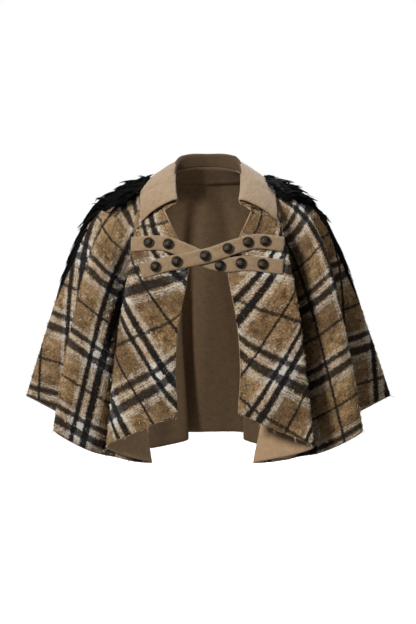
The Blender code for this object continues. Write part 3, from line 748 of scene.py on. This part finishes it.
def makeCollar():
    spec = collar
    shares = np.linspace(0.0, 2.0, spec["columns"] + 1)
    middle = np.array([collarSection(share) for share in shares]).transpose(1, 0, 2)
    lift = normalsOf(middle) * spec["wall"] / 2
    flat = spreadOut("foldCollar", middle)
    finishes = (feltFinish, checkFinish, neckShadeFinish)
    piece = clothWall("foldCollar", middle + lift, middle - lift, flat, finishes, 0)
    # the side of the stand that faces the neck gets the dark felt: painted shade
    centre = spec["columns"] // 2
    standRun = flat[int(np.argmax(middle[:, centre, 2])), centre, 1]
    mesh = piece.data
    layer = np.zeros(len(mesh.vertices) * 3)
    mesh.attributes["flatCut"].data.foreach_get("vector", layer)
    corners = np.array([face.vertices[:] for face in mesh.polygons])
    runs = layer.reshape(-1, 3)[:, 1][corners].mean(axis=1)
    index = np.zeros(len(runs), int)
    mesh.polygons.foreach_get("material_index", index)
    index[(index == 0) & (runs < standRun)] = 2
    mesh.polygons.foreach_set("material_index", index)
    dress(piece, "camel_felt", "collar")
    return piece


# Band inside the back neck
facing = {
    "wall": 0.0012, "clear": 0.0006, "shares": (0.015, 1.05), "coarseRows": 14,
    "from": "back crest", "inFromRib": 0.25, "columns": 133, "rows": 7,
    "flat": (0.19, 0.044), "area": 0.0064,
}


def makeFacing():
    spec = facing
    inset = cape["perRib"] * spec["inFromRib"]
    first = columnOf(spec["from"], -1) + inset
    last = columnOf(spec["from"], 1) - inset
    column, share = np.meshgrid(np.linspace(first, last, spec["columns"]),
                                np.linspace(*spec["shares"], spec["rows"]))
    row = share * cape["rows"] / spec["coarseRows"]
    points = readGrid(creased, row, column)
    normals = unit(readGrid(outward, row, column))
    outer = points - normals * (cape["wall"] / 2 + spec["clear"])
    inner = outer - normals * spec["wall"]
    flat = spreadOut("neckFacing", points)
    piece = clothWall("neckFacing", outer, inner, flat, (innerFinish, innerFinish))
    dress(piece, "camel_felt", "neck_facing")
    return piece


collarPiece = makeCollar()
facingPiece = makeFacing()
print("collar and facing made")


# Crossed straps: the middle line is x, z and how far the strap rides over the other one
straps = {
    "wall": 0.0030, "width": 0.0265, "clear": 0.0005, "feel": 0.0025,
    "stations": 110, "slices": 12, "easing": 3, "edgeThin": 0.34, "edgePower": 6,
    "strapOver": {
        "node": "strap_over", "flat": (0.282, 0.030),
        "line": [
            (-0.124, -0.1580, 0.0000), (-0.092, -0.1480, 0.0002), (-0.061, -0.1405, 0.0040),
            (0.000, -0.1280, 0.0048), (0.054, -0.1100, 0.0040), (0.083, -0.1020, 0.0004),
            (0.141, -0.1065, 0.0000),
        ],
        "buttons": [      # x, how far below the middle line
            (-0.0974, 0.0), (-0.0580, 0.0), (-0.0052, 0.0), (0.0370, 0.0), (0.0744, 0.0), (0.1069, 0.0),
        ],
    },
    "strapUnder": {
        "node": "strap_under", "flat": (0.295, 0.030),
        "line": [
            (-0.143, -0.1065, 0.0000), (-0.078, -0.1060, 0.0000), (-0.034, -0.1230, 0.0000),
            (0.000, -0.1380, 0.0000), (0.028, -0.1450, 0.0000), (0.069, -0.1425, 0.0000),
            (0.139, -0.1495, 0.0000),
        ],
        "buttons": [
            (-0.1108, 0.0), (-0.0744, 0.0), (0.0225, 0.0034), (0.0612, 0.0), (0.1017, 0.0),
        ],
    },
}


def searchTree(piece):
    places = [vertex.co for vertex in piece.data.vertices]
    return BVHTree.FromPolygons(places, [face.vertices for face in piece.data.polygons])


frontTrees = [searchTree(clothPieces[name][0]) for name in ("frontRight", "frontLeft")]


def frontDepths(places):
    depths = []
    for x, z in places:
        hits = [tree.ray_cast(Vector((x, -1.0, z)), Vector((0.0, 1.0, 0.0)))[0] for tree in frontTrees]
        depths.append(min([hit.y for hit in hits if hit], default=math.nan))
    depths = np.array(depths)
    known = ~np.isnan(depths)
    spots = np.arange(len(depths))
    return np.interp(spots, spots[known], depths[known])


def makeStrap(name):
    spec = straps
    rows = np.array(spec[name]["line"])
    spots = np.linspace(rows[0, 0], rows[-1, 0], spec["stations"] + 1)
    line = smoothCurve(rows[:, 0], rows[:, 1:], spots)
    slope = np.gradient(line[:, 0], spots)
    lean = np.stack([-slope, np.ones_like(slope)], axis=1) / np.sqrt(1 + slope ** 2)[:, None]
    shifts = ((0, 0), (1, 0), (-1, 0), (0, 1), (0, -1))
    grid = []
    for offset in np.linspace(0.5, -0.5, spec["slices"] + 1) * spec["width"]:
        places = np.stack([spots, line[:, 0]], axis=1) + lean * offset
        around = [frontDepths(places + np.array(shift) * spec["feel"]) for shift in shifts]
        depth = np.minimum.reduce(around) - np.maximum(line[:, 1], 0.0)
        grid.append(np.stack([places[:, 0], depth, places[:, 1]], axis=1))
    base = np.array(grid)
    for _ in range(spec["easing"]):      # eases small steps out of the ride over the cloth
        base[:, 1:-1, 1] = base[:, 1:-1, 1] * 0.5 + (base[:, :-2, 1] + base[:, 2:, 1]) * 0.25
    normals = normalsOf(base)
    normals *= np.where(normals[..., 1:2] > 0, -1.0, 1.0)
    sideways = np.abs(np.linspace(-1.0, 1.0, spec["slices"] + 1))[:, None]
    crown = 1.0 - spec["edgeThin"] * sideways ** spec["edgePower"]
    inner = base + normals * spec["clear"]
    outer = inner + normals * (spec["wall"] * crown)[..., None]
    piece = clothWall(name, outer, inner, spreadOut(name, base), (feltFinish, feltFinish))
    dress(piece, "camel_felt", spec[name]["node"])
    return piece, outer, normals


strapPieces = {name: makeStrap(name) for name in ("strapOver", "strapUnder")}
print("straps made")


# Dome buttons with a rim, a beaded ring and a plain rosette
button = {
    "radius": 0.0102, "height": 0.0062, "clear": 0.0005, "spokes": 40, "spin": 0.7, "tip": 1.005,
    "ripples": [          # from and to radius share, count, height share
        (0.60, 0.84, 20, 0.035), (0.24, 0.52, 8, 0.055),
    ],
    "rippleRelief": 9,
    "profile": [          # radius share, height share, relief
        (1.00, 0.00, 0.2), (1.02, 0.20, 0.4), (1.00, 0.40, 0.9), (0.95, 0.47, 1.0),
        (0.90, 0.42, 0.3), (0.86, 0.40, 0.0), (0.80, 0.56, 0.4), (0.72, 0.68, 0.5),
        (0.64, 0.73, 0.3), (0.56, 0.76, 0.1), (0.48, 0.84, 0.6), (0.38, 0.91, 0.7),
        (0.27, 0.94, 0.5), (0.20, 0.93, 0.2), (0.15, 0.97, 0.8), (0.07, 1.00, 1.0),
    ],
}


def buttonShape():
    spec = button
    count = spec["spokes"]
    places = []
    relief = []
    for share, height, raised in spec["profile"]:
        radius = share * spec["radius"]
        for k in range(count):
            angle = 2 * math.pi * k / count
            ripple = sum(depth * math.cos(waves * angle)
                         for low, high, waves, depth in spec["ripples"] if low < share < high)
            rise = (height + ripple) * spec["height"]
            places.append((radius * math.cos(angle), radius * math.sin(angle), rise))
            relief.append(raised + ripple * spec["rippleRelief"])
    places.append((0.0, 0.0, spec["height"] * spec["tip"]))
    relief.append(1.0)
    faces = [tuple(range(count - 1, -1, -1))]
    top = (len(spec["profile"]) - 1) * count
    for k in range(count):
        m = (k + 1) % count
        faces += [(a + k, a + m, a + count + m, a + count + k) for a in range(0, top, count)]
        faces.append((top + k, top + m, len(places) - 1))
    return np.array(places), faces, relief


def strapLine(grid, drop):
    sliceRow = straps["slices"] * (0.5 + drop / straps["width"])
    upper = int(sliceRow)
    share = sliceRow - upper
    return grid[upper] * (1 - share) + grid[upper + 1] * share


def makeButtons():
    shape, faces, relief = buttonShape()
    number = 0
    for strap, (_, outer, normals) in strapPieces.items():
        for x, drop in straps[strap]["buttons"]:
            number += 1
            line = strapLine(outer, drop)
            place, normal = (np.array([np.interp(x, line[:, 0], values[:, axis]) for axis in range(3)])
                             for values in (line, strapLine(normals, drop)))
            normal = unit(normal)
            place = place + normal * button["clear"]
            turn = Vector(normal).to_track_quat("Z", "X").to_matrix()
            turn = np.array(turn @ Matrix.Rotation(number * button["spin"], 3, "Z"))
            piece = makePiece(f"domeButton{number:02d}", shape @ turn.T + place, faces, [bronzeFinish])
            addValues(piece, "relief", relief)
            dress(piece, "button_metal", f"button_{number:02d}")


makeButtons()
print("buttons made")


# A geometry tree with named inputs, and the plain mesh that it grows
class Tree(Nodes):
    def __init__(self, name, inputs):
        super().__init__(bpy.data.node_groups.new(name, "GeometryNodeTree"))
        face = self.tree.interface
        face.new_socket("Geometry", in_out="INPUT", socket_type="NodeSocketGeometry")
        self.ids = {}
        for label, kind in inputs.items():
            socket = face.new_socket(label, in_out="INPUT", socket_type="NodeSocket" + kind)
            self.ids[label] = socket.identifier
        face.new_socket("Geometry", in_out="OUTPUT", socket_type="NodeSocketGeometry")
        self.start = self.tree.nodes.new("NodeGroupInput")
        self.end = self.tree.nodes.new("NodeGroupOutput")

    def anyFrom(self, low, high, seed):
        sockets = {2: low, 3: high, "Seed": seed}
        return self.node("FunctionNodeRandomValue", {"data_type": "FLOAT"}, sockets, 1)

    def given(self, label):
        return Wire(self.tree, self.start.outputs[label])

    def close(self, geometry):
        realized = self.node("GeometryNodeRealizeInstances", {}, {0: geometry})
        painted = self.node("GeometryNodeSetMaterial", {}, {0: realized, "Material": self.given("Finish")})
        plug(self.tree, self.end.inputs[0], painted)

    def grow(self, source, values, name):
        modifier = source.modifiers.new("grow", "NODES")
        modifier.node_group = self.tree
        for label, value in values.items():
            modifier[self.ids[label]] = value
        graph = bpy.context.evaluated_depsgraph_get()
        mesh = bpy.data.meshes.new_from_object(source.evaluated_get(graph),
                                               preserve_all_data_layers=True, depsgraph=graph)
        source.modifiers.remove(modifier)
        mesh.name = name
        piece = bpy.data.objects.new(name, mesh)
        scene.collection.objects.link(piece)
        return piece


# Small yarn loops that stand on the checked side of the cloth
nap = {
    "size": 0.0042, "thick": 0.14, "seed": 5, "sizes": (0.45, 1.25), "spin": (0.0, 6.283),
    "paleness": (-5.0, 0.9),      # under nought is the cloth's own colour
    "arch": {"Start": (-0.45, 0.0, -0.12), "Middle": (0.05, 0.25, 0.75), "End": (0.5, -0.05, 0.0)},
    "density": {          # loops on a square metre
        "frontRight": 42000.0, "sideRight": 34000.0, "backPanel": 26000.0,
        "sideLeft": 34000.0, "frontLeft": 42000.0,
    },
}


def napTree():
    tree = Tree("napLoops", {"Density": "Float", "Loop size": "Float", "Loop thickness": "Float",
                             "Seed": "Int", "Finish": "Material"})
    outside = tree.node("FunctionNodeCompare", {"data_type": "INT", "operation": "EQUAL"},
                        {2: tree.node("GeometryNodeInputMaterialIndex", {}, {}), 3: 0})
    spots = tree.node("GeometryNodeDistributePointsOnFaces", {"distribute_method": "RANDOM"},
                      {"Mesh": tree.given("Geometry"), "Selection": outside,
                       "Density": tree.given("Density"), "Seed": tree.given("Seed")})
    arch = tree.node("GeometryNodeCurveQuadraticBezier", {}, {"Resolution": 2, **nap["arch"]})
    ring = tree.node("GeometryNodeCurvePrimitiveCircle", {},
                     {"Resolution": 3, "Radius": tree.given("Loop thickness")})
    loop = tree.node("GeometryNodeCurveToMesh", {}, {"Curve": arch, "Profile Curve": ring})
    twist = tree.node("ShaderNodeCombineXYZ", {}, {"Z": tree.anyFrom(*nap["spin"], 2)})
    turned = tree.node("FunctionNodeRotateRotation", {"rotation_space": "LOCAL"},
                       {0: spots.beside("Rotation"),
                        1: tree.node("FunctionNodeEulerToRotation", {}, {0: twist})})
    size = tree.anyFrom(*nap["sizes"], 3) * tree.given("Loop size")
    loops = tree.node("GeometryNodeInstanceOnPoints", {},
                      {"Points": spots, "Instance": loop, "Rotation": turned, "Scale": size})
    shade = tree.anyFrom(*nap["paleness"], 4).most(0.0)
    tree.close(tree.node("GeometryNodeStoreNamedAttribute", {"data_type": "FLOAT", "domain": "INSTANCE"},
                         {"Geometry": loops, "Name": "shade", "Value": shade}))
    return tree


napLoops = napTree()
for index, (name, (made, *_)) in enumerate(clothPieces.items()):
    values = {"Density": nap["density"][name], "Loop size": nap["size"], "Loop thickness": nap["thick"],
              "Seed": nap["seed"] + index, "Finish": checkFinish}
    grown = napLoops.grow(made, values, name + "Nap")
    dress(grown, "check_cloth")
    print(f"{name} nap: {len(grown.data.polygons)} faces")
print("nap grown")


# Shoulder fringes: locks of fine strands that lie out over the cloth along the arm crest
fringe = {
    "rib": "arm crest", "points": 9, "lockWidth": 0.0090, "strandRadius": 0.0012, "back": -0.020, "seed": 23,
    "taper": {1: 0.35, 2: 1.0, 3: 1.0, 4: 0.12},      # from and to along a strand, width there
    "lockLength": (0.72, 1.20), "shortTips": (0.0, 0.022), "drift": 0.16, "pile": (0.25, 1.0),
    "rootSpread": 0.007, "strandReach": (0.76, 1.0), "layers": 0.22, "gather": 0.9,
    "rise": (0.25, 1.3), "lowest": 0.0010,
    # along the rib, front edge of the fringe, height of its pile
    "right": [
        (0.025, 0.020, 0.006), (0.045, 0.032, 0.009), (0.070, 0.050, 0.013), (0.090, 0.064, 0.015),
        (0.130, 0.064, 0.013), (0.155, 0.018, 0.012), (0.195, 0.010, 0.007), (0.220, 0.008, 0.0025),
        (0.290, 0.006, 0.0015), (0.400, 0.003, 0.001),
    ],
    "left": [
        (0.025, 0.026, 0.008), (0.045, 0.042, 0.014), (0.068, 0.072, 0.014), (0.085, 0.068, 0.013),
        (0.112, 0.046, 0.013), (0.140, 0.014, 0.011), (0.185, 0.007, 0.006), (0.215, 0.006, 0.0025),
        (0.290, 0.005, 0.0015), (0.400, 0.003, 0.001),
    ],
    # locks, strands in each, first and last root, lane from and to, length, furthest tip,
    # tip lift from and to
    "groups": [
        (46, 8, 0.022, 0.098, 0.30, 1.00, 0.046, 0.140, -0.001, 0.004),
        (104, 8, 0.030, 0.195, 0.02, 0.78, 0.040, 0.300, -0.003, 0.011),
        (52, 7, 0.160, 0.256, 0.35, 1.00, 0.080, 0.400, -0.001, 0.005),
        (8, 8, 0.060, 0.076, 0.25, 0.70, -0.030, 0.300, 0.002, 0.010),
        (9, 3, 0.225, 0.275, 0.40, 1.00, 0.120, 0.395, 0.000, 0.002),
    ],
}


def fringePlace(side, distance, offset, height):
    column = columnOf(fringe["rib"], side)
    row = rowAt(smooth, column, distance)
    width = np.linalg.norm(readGrid(smooth, row, column + side) - readGrid(smooth, row, column))
    column = column + side * offset / width
    normal = unit(readGrid(smoothNormals, row, column))
    return readGrid(smooth, row, column) + normal * (cape["wall"] / 2 + height)


def strandPaths(side):
    spec = fringe
    chance = random.Random(spec["seed"] + side)
    edges = np.array(spec["right" if side < 0 else "left"])
    paths = []
    for count, strands, rootFrom, rootTo, laneFrom, laneTo, length, furthest, *lifts in spec["groups"]:
        for lock in range(count):
            root = rootFrom + (rootTo - rootFrom) * (lock + chance.random()) / count
            lane = chance.uniform(laneFrom, laneTo)
            tip = root + length * chance.uniform(*spec["lockLength"])
            tip = min(tip, furthest - chance.uniform(*spec["shortTips"]))
            drift = chance.uniform(-spec["drift"], spec["drift"])
            pile = chance.uniform(*spec["pile"])
            lift = chance.uniform(*lifts)
            for _ in range(strands):
                sideways = chance.uniform(-0.5, 0.5) * spec["lockWidth"]
                start = root + chance.uniform(-spec["rootSpread"], spec["rootSpread"])
                reach = chance.uniform(*spec["strandReach"])
                layer = chance.uniform(-spec["layers"], spec["layers"])
                path = []
                for t in np.linspace(0.0, 1.0, spec["points"]):
                    gather = (1 - t) ** spec["gather"]
                    along = start + (tip - start) * t * reach
                    front, height = (np.interp(along, edges[:, 0], edges[:, k]) for k in (1, 2))
                    offset = spec["back"] + (front - spec["back"]) * (lane + drift * t) + sideways * gather
                    risen = math.sin(min(spec["rise"][0] + t * spec["rise"][1], 1.0) * math.pi / 2)
                    height = height * min(1.0, max(0.0, pile + layer * gather)) * risen + lift * t * t
                    path.append(fringePlace(side, along, offset, max(spec["lowest"], height)))
                paths.append(path)
    return paths


def strandTree():
    tree = Tree("fringeStrands", {"Strand radius": "Float", "Finish": "Material"})
    along = tree.node("GeometryNodeSplineParameter", {}, {})
    taper = tree.node("ShaderNodeMapRange", {}, {0: along, **fringe["taper"]})
    width = taper * tree.given("Strand radius")
    ring = tree.node("GeometryNodeCurvePrimitiveCircle", {}, {"Resolution": 3, "Radius": 1.0})
    shaped = tree.node("GeometryNodeSetCurveRadius", {}, {"Curve": tree.given("Geometry"), "Radius": width})
    tree.close(tree.node("GeometryNodeCurveToMesh", {}, {"Curve": shaped, "Profile Curve": ring,
                                                         "Scale": width, "Fill Caps": True}))
    return tree


strandNodes = strandTree()


def growStrands(name, paths, radius, finish):
    lines = bpy.data.curves.new(name + "Lines", "CURVE")
    lines.dimensions = "3D"
    for path in paths:
        spline = lines.splines.new("POLY")
        spline.points.add(len(path) - 1)
        spline.points.foreach_set("co", np.pad(path, ((0, 0), (0, 1)), constant_values=1.0).reshape(-1))
    guide = bpy.data.objects.new(name + "Lines", lines)
    scene.collection.objects.link(guide)
    piece = strandNodes.grow(guide, {"Strand radius": radius, "Finish": finish}, name)
    bpy.data.objects.remove(guide, do_unlink=True)
    return piece


for name, node, side in (("fringeRight", "fringe_right", -1), ("fringeLeft", "fringe_left", 1)):
    made = growStrands(name, strandPaths(side), fringe["strandRadius"], yarnFinish)
    dress(made, "fringe_yarn", node)
    print(f"{name}: {len(made.data.polygons)} faces")
print("fringes grown")


# Threads that have worked loose along the hem
threads = {
    "count": 34, "points": 6, "length": (0.005, 0.015), "radius": 0.0006, "seed": 71,
    "rowsUp": (0.0, 1.2), "fall": (0.3, 1.0), "out": (0.1, 0.7), "along": (-0.9, 0.9),
    "bendAlong": (-1.0, 1.0), "bendOut": (-0.3, 0.8), "bend": 0.5,
    "pale": tone(0.720, 0.620, 0.480), "brown": tone(0.200, 0.110, 0.050),
    "dark": tone(0.008, 0.007, 0.007),
    "choice": (70.0, 1.0, 0.5, 0.0), "brownStep": (0.43, 0.45), "paleStep": (0.52, 0.54),
    "shader": {"Roughness": 0.9, "Specular IOR Level": 0.1},
}


def finishThreads():
    thread = Finish("looseThread", threads["shader"])
    choice = thread.noise(thread.place(), threads["choice"])
    colour = threads["dark"]
    for over in ("brown", "pale"):
        colour = thread.mix(thread.step(choice, *threads[over + "Step"]), colour, threads[over])
    thread.set("Base Color", colour)
    return thread.material


threadFinish = finishThreads()


def makeThreads(name, first, last, seed):
    spec = threads
    chance = random.Random(spec["seed"] + seed)
    bottom = cape["rows"]
    down = np.array([0.0, 0.0, -1.0])
    paths = []
    for _ in range(spec["count"]):
        column = chance.uniform(first + 1, last - 1)
        row = bottom - chance.uniform(*spec["rowsUp"])
        start = readGrid(creased, row, column)
        normal = unit(readGrid(outward, row, column))
        along = unit(readGrid(creased, bottom, column + 0.5) - readGrid(creased, bottom, column - 0.5))
        heading = down * chance.uniform(*spec["fall"]) + normal * chance.uniform(*spec["out"])
        heading = unit(heading + along * chance.uniform(*spec["along"]))
        bend = along * chance.uniform(*spec["bendAlong"]) + normal * chance.uniform(*spec["bendOut"])
        bend = bend * spec["bend"]
        length = chance.uniform(*spec["length"])
        steps = np.linspace(0.0, 1.0, spec["points"])
        paths.append([start + (heading * t + bend * t * t) * length for t in steps])
    piece = growStrands(name, paths, spec["radius"], threadFinish)
    dress(piece, "check_cloth")
    return piece


for number, (piece, _, ribFrom, ribTo, *_) in enumerate(panels):
    columns = (ribFrom * cape["perRib"], ribTo * cape["perRib"])
    makeThreads(piece + "Threads", *columns, number)
print("threads grown")
# Floor, light and camera; the floor has a light of its own and throws none back at the cloth
studio = {
    "floorHeight": -0.80, "floorSize": 16.0, "floorLight": 3.2, "floorLightSpread": 60.0,
    "floorShader": {"Roughness": 0.9, "Base Color": tone(0.92, 0.92, 0.92)},
    "skyTone": tone(1.0, 1.0, 1.0), "skyShown": 1.0, "skyLight": 0.13,
    "lights": [           # name, place, size, power, what it falls on
        ("key", (-2.20, -2.75, 1.5), 0.8, 168.0, "outside"),
        ("kicker", (2.9, -1.9, -0.5), 1.2, 26.0, "outside"),
        ("inner", (-1.10, -1.1, 0.9), 0.30, 11.0, "inside"),
        ("top", (0.2, 1.2, 2.6), 1.8, 44.0, "all"),
        ("rear", (0.9, 3.0, 0.2), 1.2, 70.0, "all"),
    ],
    "inside": ("backPanel", "backPanelNap", "neckFacing"),
    "aim": (0.0, 0.0, -0.2),
    "camera": (0.0, -3.15, -0.233), "lens": 93.6,
}


def makeFloor(spec):
    half = spec["floorSize"] / 2
    sides = ((-half, -half), (half, -half), (half, half), (-half, half))
    corners = np.array([(x, y, spec["floorHeight"]) for x, y in sides])
    paper = Finish("floorPaper", spec["floorShader"])
    floor = makePiece("floor", corners, [(0, 1, 2, 3)], [paper.material])
    floor.visible_diffuse = False
    floor.visible_glossy = False
    ground = bpy.data.collections.new("ground")
    ground.objects.link(floor)
    data = bpy.data.lights.new("floorLight", "SUN")
    data.energy = spec["floorLight"]
    data.angle = math.radians(spec["floorLightSpread"])
    lamp = bpy.data.objects.new("floorLight", data)
    scene.collection.objects.link(lamp)
    lamp.light_linking.receiver_collection = ground


def makeSky(spec):
    world = bpy.data.worlds.new("studio")
    world.use_nodes = True
    tree = world.node_tree
    lit = tree.nodes["Background"]
    shown = tree.nodes.new("ShaderNodeBackground")
    for node, strength in ((lit, spec["skyLight"]), (shown, spec["skyShown"])):
        node.inputs["Color"].default_value = spec["skyTone"]
        node.inputs["Strength"].default_value = strength
    rays = tree.nodes.new("ShaderNodeLightPath")
    choice = tree.nodes.new("ShaderNodeMixShader")
    tree.links.new(rays.outputs["Is Camera Ray"], choice.inputs[0])
    tree.links.new(lit.outputs[0], choice.inputs[1])
    tree.links.new(shown.outputs[0], choice.inputs[2])
    tree.links.new(choice.outputs[0], tree.nodes["World Output"].inputs["Surface"])
    scene.world = world


def makeStudio():
    spec = studio
    makeFloor(spec)
    makeSky(spec)
    groups = {name: bpy.data.collections.new(name) for name in ("inside", "outside")}
    for piece in scene.collection.objects:
        if piece.type == "MESH":
            groups["inside" if piece.name in spec["inside"] else "outside"].objects.link(piece)
    for name, place, size, power, fallsOn in spec["lights"]:
        data = bpy.data.lights.new(name, "AREA")
        data.size = size
        data.energy = power
        lamp = bpy.data.objects.new(name, data)
        lamp.location = place
        lamp.rotation_euler = (Vector(spec["aim"]) - Vector(place)).to_track_quat("-Z", "Y").to_euler()
        scene.collection.objects.link(lamp)
        if fallsOn in groups:
            lamp.light_linking.receiver_collection = groups[fallsOn]
        if fallsOn == "inside":
            lamp.light_linking.blocker_collection = groups[fallsOn]
    data = bpy.data.cameras.new("camera")
    data.lens = spec["lens"]
    camera = bpy.data.objects.new("camera", data)
    camera.location = spec["camera"]
    camera.rotation_euler = (math.radians(90.0), 0.0, 0.0)      # level, looking along +y
    scene.collection.objects.link(camera)
    scene.camera = camera
    scene.view_settings.view_transform = "Standard"


makeStudio()
print("studio set")
